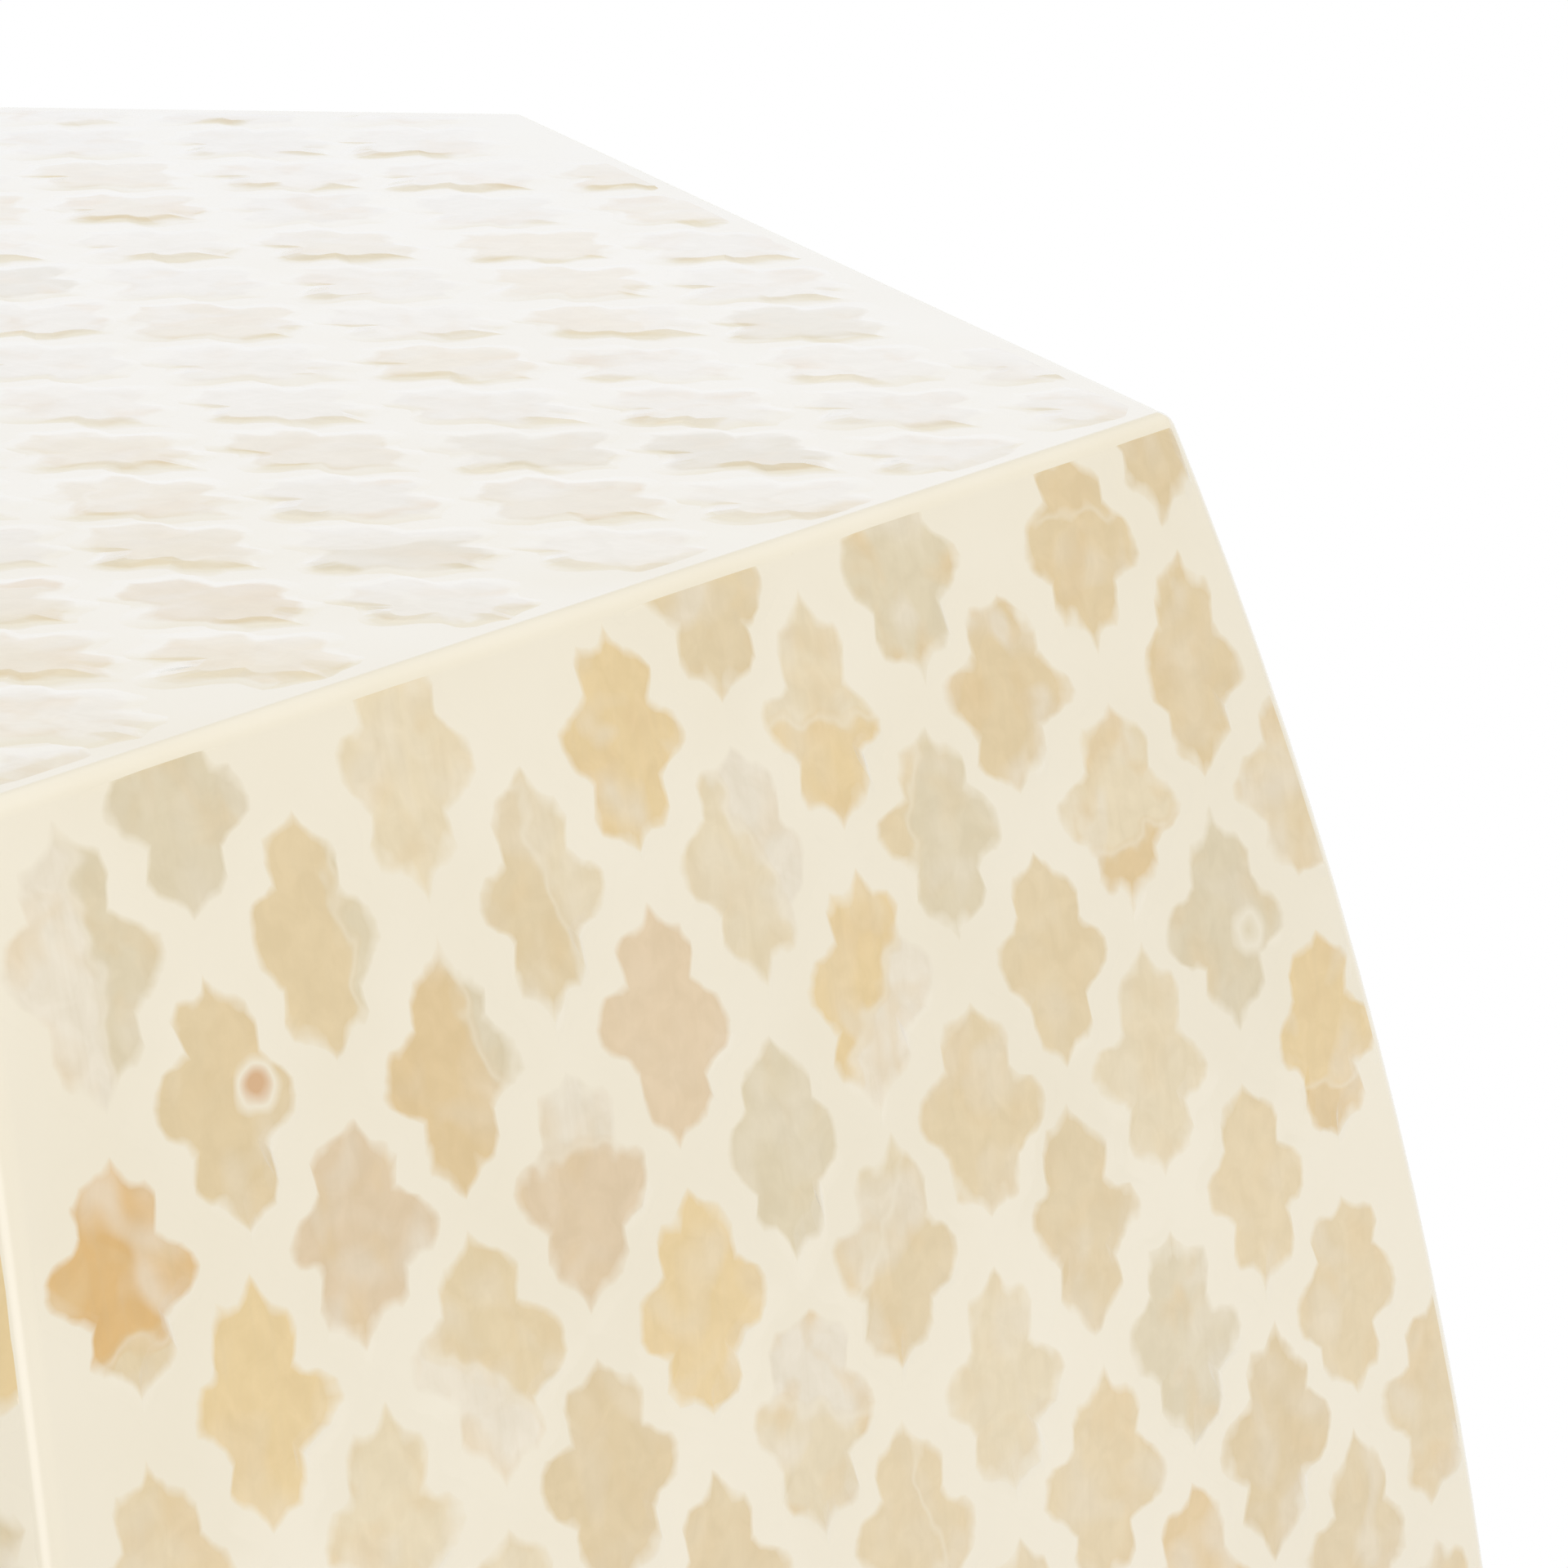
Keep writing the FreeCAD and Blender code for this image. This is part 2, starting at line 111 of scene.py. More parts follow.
# A quarter of a tile's outline, from a side lobe round to the tip, as shares of its half sizes.
TILE_QUARTER = [
    (1.00, 0.00),
    (0.96, 0.12),
    (0.84, 0.22),
    (0.66, 0.28),
    (0.52, 0.37),
    (0.56, 0.60),
    (0.45, 0.74),
    (0.24, 0.79),
    (0.11, 0.88),
    (0.00, 1.00),
]
LOBE_START = 0.52
TIP_START = 0.79
# Loops of a tile from its resin fillet inwards: the share of the outline, of the rise, and of the way down.
FILLET_LOOP = (1.4, -0.3, 1.5)
EDGE_LOOP = (1.0, 0.8, 0.5)
CROWN_LOOP = (0.78, 1.0, 0.0)
# Points less far down than this are bone, the others are the resin fillet.
BONE_END = 0.6
# Polished bone is the first material of a tile, and the sawn faces take the second.
SAWN_SLOT = 1

# How the hand-cut tiles differ from the pattern, as shares of its sizes.
CROWN_RANGE = (0.75, 1.02)
LOBE_RANGE = (0.75, 1.1)
TIP_RANGE = (0.6, 1.1)
WIDTH_RANGE = (0.94, 1.05)
SKEW_RANGE = (-0.06, 0.06)
LENGTH_RANGE = (0.95, 1.04)
# How long the waves of a sawn outline are, and how far they swing.
WOBBLES = ((14 * MM, 1.4 * MM), (4.5 * MM, 0.8 * MM))
# How worn the edge of a tile is, how high it stands and how bright it is.
WEAR_RANGE = (0.4, 1.3)
FLUSH_RANGE = (0.6, 1)
BRIGHTNESS_RANGE = (0.975, 1.025)
# How far a tile is laid from its place.
TURN_SPREAD = math.radians(1.6)
PLACE_SPREAD = 0.35 * MM
# Where the draws of the sides, of the top and of the wobbles start.
SIDE_SEED = 100
TOP_SEED = 78
WOBBLE_SEED = 3
# Each tile is cut by another layer of a noise this deep.
NOISE_DEPTH = 900

# Tones of polished bone, and how often each is met on a side and on the top, which is given the paler
# tiles.
BONE_TONES = {
    "beige": "#E3CFA5",
    "sand": "#E0CA9D",
    "pale": "#E8D8B4",
    "honey": "#E8CE98",
    "rose": "#E2CBA6",
    "grey": "#DED0AE",
    "tan": "#E1C693",
    "ghost": "#ECE2CC",
    "amber": "#DFB570",
    "russet": "#D19F68",
}
SIDE_WEIGHTS = [34, 20, 14, 8, 10, 9, 5, 1, 0.2, 0]
# Most tiles of the top are ghost or pale bone: real bone tones, weighted so that they also paint in part of
# the white glare its polish shows at a low angle.
TOP_WEIGHTS = [3, 2, 24, 1, 2, 11, 2, 57, 0, 0]

# A look is a tile's tone, the tone of its other piece, and how strongly it is clouded. Then come, in
# millimetres from its middle, the crack between the pieces, as a direction in degrees and a distance, and
# the middle of a round plug.
NO_CRACK = (0, 99)
NO_PLUG = (99, 99)
CRACK_CHANCE = 0.2
CRACK_REACH = 6
PLUG_CHANCE = 0.007
PLUG_REACH = (5, 2)
CLOUD_RANGE = (0.3, 1)
# Tiles of the first side that stand out, by half row and place in the row.
NOTABLE_TILES = {
    (-1, -2.5): ("amber", "beige", 0.8, (-75, 7), NO_PLUG),
    (0, -1.0): ("tan", "grey", 0.5, (20, 6), NO_PLUG),
    (0, 0.0): ("rose", "rose", 0.1, NO_CRACK, NO_PLUG),
    (0, 1.0): ("honey", "ghost", 0.6, (-35, 2), NO_PLUG),
    (2, 1.0): ("pale", "honey", 0.6, (-90, 0), NO_PLUG),
    (-1, -0.5): ("rose", "ghost", 0.5, (90, 3.5), NO_PLUG),
    (-2, 0.0): ("honey", "honey", 0.5, NO_CRACK, NO_PLUG),
    (-2, 1.0): ("beige", "pale", 1.0, (150, 3), NO_PLUG),
    (1, 2.5): ("pale", "tan", 0.8, (-80, 4), NO_PLUG),
    (-1, 3.5): ("honey", "tan", 0.7, (-90, 6), NO_PLUG),
    (0, -2.0): ("sand", "russet", 0.4, NO_CRACK, (4.6, 1.5)),
    (0, 3.0): ("grey", "grey", 0.5, NO_CRACK, (4.2, -1.5)),
    (1, -0.5): ("beige", "pale", 0.5, (18, 2), NO_PLUG),
    (-3, 0.5): ("pale", "ghost", 0.9, (80, 1), NO_PLUG),
    (1, -2.5): ("ghost", "grey", 0.6, (0, 2), NO_PLUG),
    (1, -1.5): ("sand", "grey", 0.1, (0, 5), NO_PLUG),
}


def linear(colour):
    """An sRGB hex colour as linear red, green, blue and full alpha."""
    channels = [int(colour[start:start + 2], 16) / 255 for start in (1, 3, 5)]
    values = [c / 12.92 if c <= 0.04045 else ((c + 0.055) / 1.055) ** 2.4 for c in channels]
    return (*values, 1.0)


def add_node(tree, kind, inputs=None, **settings):
    """Add a shader node. Each input is a value, an output, or a node for its first output."""
    node = tree.nodes.new("ShaderNode" + kind)
    for name, setting in settings.items():
        setattr(node, name, setting)
    for name, given in (inputs or {}).items():
        places = [socket for socket in node.inputs if socket.enabled]
        place = places[name] if isinstance(name, int) else next(p for p in places if p.name == name)
        if isinstance(given, bpy.types.Node):
            given = next(socket for socket in given.outputs if socket.enabled)
        if isinstance(given, bpy.types.NodeSocket):
            tree.links.new(given, place)
        else:
            place.default_value = given
    return node


def blend(tree, share, first, second, **settings):
    """A share of the second colour in the first."""
    return add_node(tree, "Mix", {
        "Factor": share, "A": first, "B": second,
    }, data_type="RGBA", **settings)


def ramp(tree, value, start=0.0, end=1.0, low=0.0, high=1.0, **settings):
    """Low where a value is at its start, high where it is at its end."""
    return add_node(tree, "MapRange", {
        "Value": value, "From Min": start, "From Max": end, "To Min": low, "To Max": high,
    }, **settings)


def patches(tree, place, width, detail, distortion=0.0):
    """Soft noise in patches of a width."""
    return add_node(tree, "TexNoise", {
        "Vector": place, "Scale": 1 / width, "Detail": detail, "Distortion": distortion,
    })


def place_on_piece(tree):
    """The place on a piece, in metres."""
    return add_node(tree, "TexCoord").outputs["Object"]


def tile_value(tree, name, kind="Fac"):
    """A value that the points of a tile carry."""
    return add_node(tree, "Attribute", attribute_name=name).outputs[kind]


def new_material(name):
    """An empty node material and its tree."""
    material = bpy.data.materials.new(name)
    material.use_nodes = True
    material.node_tree.nodes.clear()
    return material, material.node_tree


def shade(tree, looks):
    """End a material with a surface of these looks."""
    shader = add_node(tree, "BsdfPrincipled", looks)
    add_node(tree, "OutputMaterial", {"Surface": shader})


def sanded_surface(tree):
    """What sanding by hand leaves on resin and bone alike: faint waves about 35 mm apart, and tiles that
    are worn down at the edge that the strokes met first, in some stretches more than in others."""
    place = place_on_piece(tree)
    early = add_node(tree, "Math", {0: tile_value(tree, "down"), 1: 0.7}, operation="POWER")
    crown = ramp(tree, early, low=1.0, high=0.0, interpolation_type="SMOOTHSTEP")
    stretch = ramp(tree, patches(tree, place, 16 * MM, 1.0), 0.48, 0.6)
    met = ramp(tree, tile_value(tree, "lead"), -0.1, 0.5)
    worn = add_node(tree, "Math", {0: met, 1: stretch}, operation="MULTIPLY")
    edges = add_node(tree, "Bump", {"Height": crown, "Strength": worn, "Distance": 0.42 * MM})
    waves = patches(tree, place, 35 * MM, 1.0)
    return add_node(tree, "Bump", {
        "Height": waves, "Strength": 1.0, "Distance": 0.3 * MM, "Normal": edges,
    })


def polish(tree, colour):
    """End a material with a sanded surface under a clear gloss."""
    surface = sanded_surface(tree)
    shade(tree, {
        "Base Color": colour, "Roughness": 0.17, "IOR": 1.52, "Normal": surface,
        "Coat Weight": 1.0, "Coat Roughness": 0.06, "Coat Normal": surface,
    })


def resin_colour(tree):
    """Cream resin, faintly cloudy in patches about 26 mm wide."""
    cloud = patches(tree, place_on_piece(tree), 26 * MM, 3.0)
    return blend(tree, cloud, linear("#F4ECD9"), linear("#EEE4CC"))


def polished_resin():
    """Cream polyester resin, cast, sanded and polished: a cloudy warm white under a clear gloss."""
    material, tree = new_material("polished_resin")
    polish(tree, resin_colour(tree))
    return material


def figured_bone(tree, grain, own, strength):
    """A bone's own tone with its clouds, as strong as the tile has them, its pores and its mottling."""
    # Soft clouds a few millimetres wide, paler and warmer than the tile's own tone.
    pale = ramp(tree, patches(tree, grain, 10, 1.0, 0.5), 0.48, 0.7, high=0.75)
    pale = add_node(tree, "Math", {0: pale, 1: strength}, operation="MULTIPLY")
    lighter = blend(tree, pale, own, linear("#EBE1CC"))
    elsewhere = add_node(tree, "VectorMath", {0: grain, 1: (31.0, 17.0, 5.0)}, operation="ADD")
    warm = ramp(tree, patches(tree, elsewhere, 9, 2.0, 0.4), 0.5, 0.72, high=0.7)
    warm = add_node(tree, "Math", {0: warm, 1: strength}, operation="MULTIPLY")
    warmer = blend(tree, warm, lighter, linear("#E2C590"))
    # Pores run along the bone, drawn about 1 mm apart, coarser than they are, so that they show.
    along = add_node(tree, "Mapping", {"Vector": grain, "Scale": (1.0, 1 / 18, 1.0)})
    pores = ramp(tree, patches(tree, along, 1, 3.0), 0.45, 0.8, high=0.11)
    streaked = blend(tree, pores, warmer, linear("#D2BE97"))
    # Faint mottling, about 4 mm wide.
    flecks = ramp(tree, patches(tree, grain, 4, 3.0, 0.6), 0.33, 0.67)
    mottle = blend(tree, flecks, (0.96, 0.95, 0.94, 1), (1.025, 1.025, 1.045, 1))
    return blend(tree, 1.0, streaked, mottle, blend_type="MULTIPLY")


def mended_bone(tree, figured, other, ground, line, shift):
    """Bone with resin in its crack, and with a ring of resin that holds a round plug of the other tone."""
    width = add_node(tree, "Math", {0: line}, operation="ABSOLUTE")
    seamed = blend(tree, ramp(tree, width, 0.1, 0.9, 0.3, 0.0), figured, ground)
    plug = tile_value(tree, "plug", "Vector")
    distance = add_node(tree, "VectorMath", {0: plug}, operation="LENGTH").outputs["Value"]
    distance = add_node(tree, "Math", {0: shift, 1: 0.5, 2: distance}, operation="MULTIPLY_ADD")
    ringed = blend(tree, ramp(tree, distance, 2.4, 3.8, 0.85, 0.0), seamed, ground)
    return blend(tree, ramp(tree, distance, 0.7, 2.3, 0.85, 0.0), ringed, other)


def lapped_bone(tree, mended, ground, grain):
    """Bone with resin that laps over its sawn edge, in some stretches softly, and shows in its chips."""
    soft = ramp(tree, patches(tree, grain, 6, 1.0), 0.3, 0.7, -0.35, 0.35)
    rough = ramp(tree, patches(tree, grain, 2.5, 1.0), low=-0.2, high=0.2)
    ragged = add_node(tree, "Math", {0: soft, 1: rough}, operation="ADD")
    down = tile_value(tree, "down")
    ragged = add_node(tree, "Math", {0: down, 1: 2.0, 2: ragged}, operation="MULTIPLY_ADD")
    return blend(tree, ramp(tree, ragged, 0.7, 1.3), mended, ground)


def polished_bone():
    """Camel bone, hand cut, sanded flush and polished: clouded cream to tan, pieced from broken bits. Its
    grain is in millimetres."""
    material, tree = new_material("polished_bone")
    grain = tile_value(tree, "grain", "Vector")
    other = tile_value(tree, "other_tone", "Color")
    ground = resin_colour(tree)
    # A crack wanders a millimetre or two to both sides of its line and parts two tones.
    shift = ramp(tree, patches(tree, grain, 5, 1.0), low=-3.5, high=3.5)
    line = add_node(tree, "Math", {0: tile_value(tree, "crack"), 1: shift}, operation="ADD")
    own = blend(tree, ramp(tree, line, -1.5, 1.5), tile_value(tree, "tone", "Color"), other)
    figured = figured_bone(tree, grain, own, tile_value(tree, "tone", "Alpha"))
    mended = mended_bone(tree, figured, other, ground, line, shift)
    polish(tree, lapped_bone(tree, mended, ground, grain))
    return material


def sawn_bone():
    """Camel bone, sawn off straight and filled with resin: cream, finely mottled, half matt."""
    material, tree = new_material("sawn_bone")
    mottle = patches(tree, place_on_piece(tree), 1.5 * MM, 2.0)
    colour = blend(tree, mottle, linear("#F1E8D3"), linear("#E8DAB8"))
    shade(tree, {"Base Color": colour, "Roughness": 0.4, "IOR": 1.52})
    return material


def along_grain(tree, length, width):
    """The place on a board, counted in lengths along the grain and in widths across it."""
    place = place_on_piece(tree)
    return add_node(tree, "Mapping", {"Vector": place, "Scale": (1 / length, 1 / width, 1 / width)})


def birch_plywood():
    """Birch plywood, rotary cut and sanded: pale honey veneer with a wide soft figure and short pores."""
    material, tree = new_material("birch_plywood")
    flame = patches(tree, along_grain(tree, 90 * MM, 14 * MM), 1, 3.0, 1.2)
    veneer = blend(tree, flame, linear("#E3CBA4"), linear("#CDAA79"))
    pores = patches(tree, along_grain(tree, 16 * MM, 0.9 * MM), 1, 2.0)
    colour = blend(tree, ramp(tree, pores, 0.58, 0.75, high=0.5), veneer, linear("#A98558"))
    bump = add_node(tree, "Bump", {"Height": pores, "Strength": 0.2, "Distance": 0.1 * MM})
    shade(tree, {"Base Color": colour, "Roughness": 0.62, "IOR": 1.5, "Normal": bump})
    return material


def planed_pine():
    """Pine, sawn and planed: straw yellow with darker rings of late wood, matt."""
    material, tree = new_material("planed_pine")
    ring_pitch = 4 * MM
    # At a scale of 1 the bands of a wave texture lie this far apart.
    wave_pitch = math.tau / 20
    rings = add_node(tree, "TexWave", {
        "Vector": place_on_piece(tree), "Scale": wave_pitch / ring_pitch, "Distortion": 3.0, "Detail": 2.0,
    }, bands_direction="Z")
    late = ramp(tree, rings.outputs["Fac"], 0.55, 0.95, high=0.7)
    colour = blend(tree, late, linear("#E8CF9F"), linear("#C99F63"))
    shade(tree, {"Base Color": colour, "Roughness": 0.6, "IOR": 1.5})
    return material


def moulded_nylon():
    """Nylon, injection moulded: an even milky grey with a dull sheen and faint scuffs from the floor."""
    material, tree = new_material("moulded_nylon")
    scuffs = patches(tree, place_on_piece(tree), 3 * MM, 4.0)
    colour = blend(tree, scuffs, linear("#E4E1D8"), linear("#D3CFC3"))
    shade(tree, {"Base Color": colour, "Roughness": 0.45, "IOR": 1.53})
    return material


def zinc_plated_steel():
    """Mild steel, turned and zinc plated: a cool bright grey, cloudy where the plating is thin."""
    material, tree = new_material("zinc_plated_steel")
    cloud = patches(tree, place_on_piece(tree), 2 * MM, 2.0)
    colour = blend(tree, cloud, linear("#CDCFD2"), linear("#B9BBBE"))
    shade(tree, {"Base Color": colour, "Metallic": 1.0, "Roughness": 0.34})
    return material


def dress_carcass():
    """Give every hidden piece of the frame, and the glides and fasteners, its own material."""
    finishes = {
        birch_plywood(): ("top_board", "base_board", "side_panel"),
        planed_pine(): ("top_rail", "belly_rail", "base_rail"),
        moulded_nylon(): ("glide",),
        zinc_plated_steel(): ("glide_nails", "top_screws", "base_screws"),
    }
    for material, starts in finishes.items():
        for name, node in NODES.items():
            if name.startswith(starts):
                node.data.materials.clear()
                node.data.materials.append(material)


def deselect():
    """Let go of all pieces."""
    bpy.ops.object.select_all(action="DESELECT")


def named(name):
    """Name the piece that was just added."""
    piece = bpy.context.active_object
    piece.name = name
    piece.data.name = name
    return piece


def pick(piece, domain, test):
    """Select, in edit mode, the vertices, edges or polygons of a piece that pass a test."""
    modes = {"vertices": "VERT", "edges": "EDGE", "polygons": "FACE"}
    bpy.ops.object.mode_set(mode="EDIT")
    bpy.ops.mesh.select_mode(type=modes[domain])
    bpy.ops.mesh.select_all(action="DESELECT")
    bpy.ops.object.mode_set(mode="OBJECT")
    for item in getattr(piece.data, domain):
        item.select = test(item)
    bpy.ops.object.mode_set(mode="EDIT")


def apply_modifier(piece, kind, **settings):
    """Work a modifier with its settings into a piece."""
    modifier = piece.modifiers.new(kind.lower(), kind)
    for name, setting in settings.items():
        setattr(modifier, name, setting)
    bpy.ops.object.modifier_apply(modifier=modifier.name)


def smooth(piece):
    """Shade a piece smooth up to its sharp edges, and keep its flat faces flat."""
    bpy.ops.object.shade_smooth_by_angle(angle=SMOOTH_ANGLE)
    apply_modifier(piece, "WEIGHTED_NORMAL", keep_sharp=True)


def points_of(mesh):
    """The points of a mesh as columns x, y and height."""
    places = np.empty(len(mesh.vertices) * 3)
    mesh.vertices.foreach_get("co", places)
    return places.reshape(-1, 3).T


def move_points(mesh, columns):
    """Move the points of a mesh to columns x, y and height."""
    mesh.vertices.foreach_set("co", np.stack(columns, axis=1).ravel())
    mesh.update()


def side_distance(height, depth):
    """Distance from the axis to a side at a height, at a depth under its surface."""
    return ARC_CENTRE + np.sqrt((ARC_RADIUS - depth) ** 2 - (height - MIDDLE) ** 2)


def make_resin_ground(resin):
    """One cast skin over the top and the six bowed sides, open below, with rounded edges."""
    deselect()
    top = TABLE_TOP - TOP_RISE
    bpy.ops.mesh.primitive_cylinder_add(
        vertices=SIDES, radius=TOP_CORNER, depth=top - BASE, end_fill_type="NGON",
        location=(0, 0, (top + BASE) / 2), rotation=(0, 0, HALF_SIDE_ANGLE))
    ground = named("resin_ground")
    bpy.ops.object.transform_apply(location=True, rotation=True, scale=True)
    pick(ground, "polygons", lambda face: face.normal.z < -0.5)
    bpy.ops.mesh.delete(type="FACE")

    def ends(edge):
        return [ground.data.vertices[index].co for index in edge.vertices]

    def upright(edge):
        low, high = ends(edge)
        return abs(high.z - low.z) > math.hypot(high.x - low.x, high.y - low.y)

    def on_rim(edge):
        return all(end.z > top - 0.01 * MM for end in ends(edge))

    pick(ground, "edges", upright)
    bpy.ops.mesh.subdivide(number_cuts=BOW_ROWS - 1)
    bpy.ops.object.mode_set(mode="OBJECT")
    x, y, height = points_of(ground.data)
    bowed = side_distance(height, SIDE_RISE) / TOP_APOTHEM
    move_points(ground.data, (x * bowed, y * bowed, height))
    pick(ground, "edges", lambda edge: upright(edge) or on_rim(edge))
    bpy.ops.mesh.bevel(offset=EDGE_ROUND, segments=EDGE_STEPS, affect="EDGES")
    bpy.ops.object.mode_set(mode="OBJECT")
    apply_modifier(ground, "SOLIDIFY", thickness=INLAY_THICKNESS, offset=-1.0)
    smooth(ground)
    ground.data.materials.clear()
    ground.data.materials.append(resin)
    return ground


def make_tile_pattern(bone, sawn):
    """The tile that the fields are laid from: a flat crown of bone, a worn edge and a resin fillet."""
    deselect()
    corners = 4 * (len(TILE_QUARTER) - 1)
    bpy.ops.mesh.primitive_circle_add(vertices=corners, radius=1.0, fill_type="NGON")
    tile = named("tile_pattern")
    step = math.tau / corners
    for vertex in tile.data.vertices:
        angle = math.atan2(abs(vertex.co.y), abs(vertex.co.x))
        across, along = TILE_QUARTER[round(angle / step)]
        vertex.co = (
            math.copysign(across * HALF_WIDTH, vertex.co.x) * FILLET_LOOP[0],
            math.copysign(along * HALF_LENGTH, vertex.co.y) * FILLET_LOOP[0],
            FILLET_LOOP[1],
        )
    bpy.ops.object.mode_set(mode="EDIT")
    bpy.ops.mesh.select_mode(type="FACE")
    bpy.ops.mesh.select_all(action="SELECT")
    for last, loop in ((FILLET_LOOP, EDGE_LOOP), (EDGE_LOOP, CROWN_LOOP)):
        bpy.ops.mesh.extrude_region_move(TRANSFORM_OT_translate={"value": (0, 0, loop[1] - last[1])})
        closer = loop[0] / last[0]
        bpy.ops.transform.resize(value=(closer, closer, 1), center_override=(0, 0, 0))
    # The crown is cut in two across its lobes, so that it follows the bow of a side.
    bpy.ops.mesh.bisect(plane_co=(0, 0, 0), plane_no=(0, 1, 0))
    bpy.ops.mesh.select_all(action="SELECT")
    bpy.ops.mesh.normals_make_consistent(inside=False)
    bpy.ops.object.mode_set(mode="OBJECT")
    mesh = tile.data
    mesh.materials.append(bone)
    mesh.materials.append(sawn)
    values = {
        "tone": "FLOAT_COLOR", "other_tone": "FLOAT_COLOR",
        "grain": "FLOAT_VECTOR", "plug": "FLOAT_VECTOR",
        "crack": "FLOAT", "down": "FLOAT", "lead": "FLOAT",
    }
    for name, kind in values.items():
        mesh.attributes.new(name, kind, "POINT")
    ways = {loop[1]: loop[2] for loop in (FILLET_LOOP, EDGE_LOOP, CROWN_LOOP)}
    down = [ways[min(ways, key=lambda rise: abs(rise - vertex.co.z))] for vertex in mesh.vertices]
    mesh.attributes["down"].data.foreach_set("value", down)
    return tile


def lattice(pitch, reach):
    """Places of a staggered pattern: half row, place in the row, and the shift from its start."""
    across, along = pitch
    rows = math.ceil(2 * reach / along)
    columns = math.ceil(reach / across)
    for half_row in range(-rows, rows + 1):
        for column in range(-columns, columns + 1):
            place = column + half_row % 2 / 2
            yield half_row, place, Vector((place * across, half_row * along / 2))


def choose_look(dice, weights):
    """The look of a tile: mostly one piece of bone, sometimes two, now and then with a plug."""
    tone, other = dice.choices(list(BONE_TONES), weights, k=2)
    crack = NO_CRACK
    plug = NO_PLUG
    chance = dice.random()
    if chance < CRACK_CHANCE:
        crack = (dice.uniform(0, 360), dice.uniform(0, CRACK_REACH))
        other = dice.choice((tone, other, "ghost"))
    elif chance < CRACK_CHANCE + PLUG_CHANCE:
        plug = tuple(dice.uniform(-reach, reach) for reach in PLUG_REACH)
    return tone, other, dice.uniform(*CLOUD_RANGE), crack, plug


def pulled(values, start, low, high):
    """Shorten or lengthen what lies beyond a start on the low and on the high side of zero."""
    beyond_low = np.minimum(values + start, 0)
    beyond_high = np.maximum(values - start, 0)
    return values + beyond_low * (low - 1) + beyond_high * (high - 1)


def cut_by_hand(x, y, rise, dice):
    """The points of a tile, cut a little unlike the others, and the layer of noise that it is cut by."""
    # The worn edge is wider on some tiles than on others.
    on_crown = rise > (EDGE_LOOP[1] + CROWN_LOOP[1]) / 2
    crown = np.where(on_crown, dice.uniform(*CROWN_RANGE), 1)
    x, y = x * crown, y * crown
    x = pulled(x, LOBE_START * HALF_WIDTH, dice.uniform(*LOBE_RANGE), dice.uniform(*LOBE_RANGE))
    y = pulled(y, TIP_START * HALF_LENGTH, dice.uniform(*TIP_RANGE), dice.uniform(*TIP_RANGE))
    x = x * dice.uniform(*WIDTH_RANGE) + y * dice.uniform(*SKEW_RANGE)
    y = y * dice.uniform(*LENGTH_RANGE)
    layer = dice.uniform(0, NOISE_DEPTH)
    for size, reach in WOBBLES:
        wobbles = np.array([noise.noise_vector((*point, layer)) for point in zip(x / size, y / size)])
        x += wobbles[:, 0] * reach
        y += wobbles[:, 1] * reach
    # A worn edge lies a little lower than the crown, unevenly, and some tiles are nearly flush.
    wear = dice.uniform(*WEAR_RANGE) * (1 + wobbles[:, 2])
    flush = dice.uniform(*FLUSH_RANGE)
    rise = np.where(rise > 0, (1 - (1 - rise) * wear) * flush, rise)
    return x, y, rise, layer


def paint_tile(mesh, x, y, layer, look, dice):
    """Give the points of a tile, in millimetres from its middle, what the bone's material reads."""
    tone, other, figure, (degrees, crack_reach), plug = look
    count = len(mesh.vertices)
    way = math.radians(degrees)
    brightness = dice.uniform(*BRIGHTNESS_RANGE)
    tones = [[c * brightness for c in linear(BONE_TONES[name])[:3]] for name in (tone, other)]
    values = {
        "tone": ("color", np.tile([*tones[0], figure], count)),
        "other_tone": ("color", np.tile([*tones[1], 1.0], count)),
        "grain": ("vector", np.stack((x, y, np.full(count, layer)), axis=1).ravel()),
        "plug": ("vector", np.stack((x - plug[0], y - plug[1], np.zeros(count)), axis=1).ravel()),
        "crack": ("value", x * math.cos(way) + y * math.sin(way) - crack_reach),
    }
    for name, (field, numbers) in values.items():
        mesh.attributes[name].data.foreach_set(field, numbers)


def lay_tile(pattern, centre, turn, look, dice):
    """A copy of the pattern in the sheet, cut a little unlike the others, with its look."""
    mesh = pattern.data.copy()
    x, y, rise, layer = cut_by_hand(*points_of(mesh), dice)
    turn += dice.gauss(0, TURN_SPREAD)
    centre = centre + Vector((dice.gauss(0, PLACE_SPREAD), dice.gauss(0, PLACE_SPREAD)))
    cos, sin = math.cos(turn), math.sin(turn)
    right, up = cos * x - sin * y, sin * x + cos * y
    move_points(mesh, (centre.x + right, centre.y + up, rise))
    mesh.attributes["lead"].data.foreach_set("value", -up / np.hypot(right, up))
    paint_tile(mesh, x / MM, y / MM, layer, look, dice)
    tile = bpy.data.objects.new(pattern.name, mesh)
    bpy.context.collection.objects.link(tile)
    return tile


def cut_straight(tile, point, away, under, dip):
    """Saw a tile off beyond a point in a direction, and bend the edge along the cut under the resin."""
    reach, depth = dip
    deselect()
    tile.select_set(True)
    bpy.context.view_layer.objects.active = tile
    bpy.ops.object.mode_set(mode="EDIT")
    bpy.ops.mesh.select_all(action="SELECT")
    bpy.ops.mesh.bisect(
        plane_co=point, plane_no=away, threshold=CUT_TOLERANCE, use_fill=True, clear_outer=True)
    tile.active_material_index = SAWN_SLOT
    bpy.ops.object.material_slot_assign()
    bpy.ops.mesh.select_all(action="SELECT")
    bpy.ops.mesh.bisect(plane_co=point - away * reach, plane_no=away, threshold=CUT_TOLERANCE)
    bpy.ops.object.mode_set(mode="OBJECT")
    for vertex in tile.data.vertices:
        share = 1 - (point - vertex.co).dot(away) / reach
        vertex.co += under * depth * max(share, 0)


